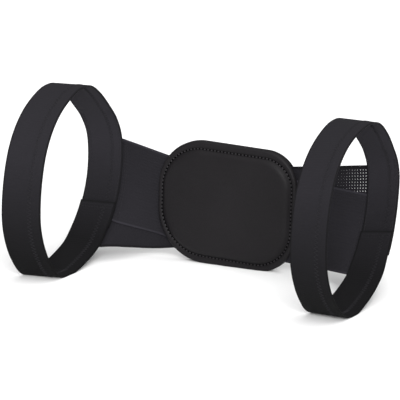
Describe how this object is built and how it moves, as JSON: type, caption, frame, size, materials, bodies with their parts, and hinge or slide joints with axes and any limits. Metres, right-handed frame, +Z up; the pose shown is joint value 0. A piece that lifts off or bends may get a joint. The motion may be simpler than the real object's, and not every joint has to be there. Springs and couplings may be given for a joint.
{
  "type": "posture corrector",
  "caption": "Figure-of-eight back brace: elastic arm loops joined by crossed elastic straps under a padded leatherette back pad.",
  "frame": {"origin": "middle of the underside of the bounding box, on the surface that the brace stands on", "axes": "+X to the wearer's side along the assembly, -Y towards the wearer's back and arms, +Z up"},
  "size_m": [0.327, 0.1678, 0.1687],
  "materials": {
    "webbing": "fine-ribbed woven elastic webbing, charcoal black with a slight violet cast, matt",
    "elastic": "ribbed elastic, an open mesh where it is seen in one layer, charcoal black, matt",
    "leatherette": "fine-grained leatherette, black, half matt, sewn with black thread"
  },
  "bodies": {
    "root": {"loop_left": "webbing", "loop_right": "webbing", "strap_front": "elastic", "strap_rear": "elastic", "pad_front": "leatherette", "pad_back": "leatherette"}
  },
  "joints": []
}
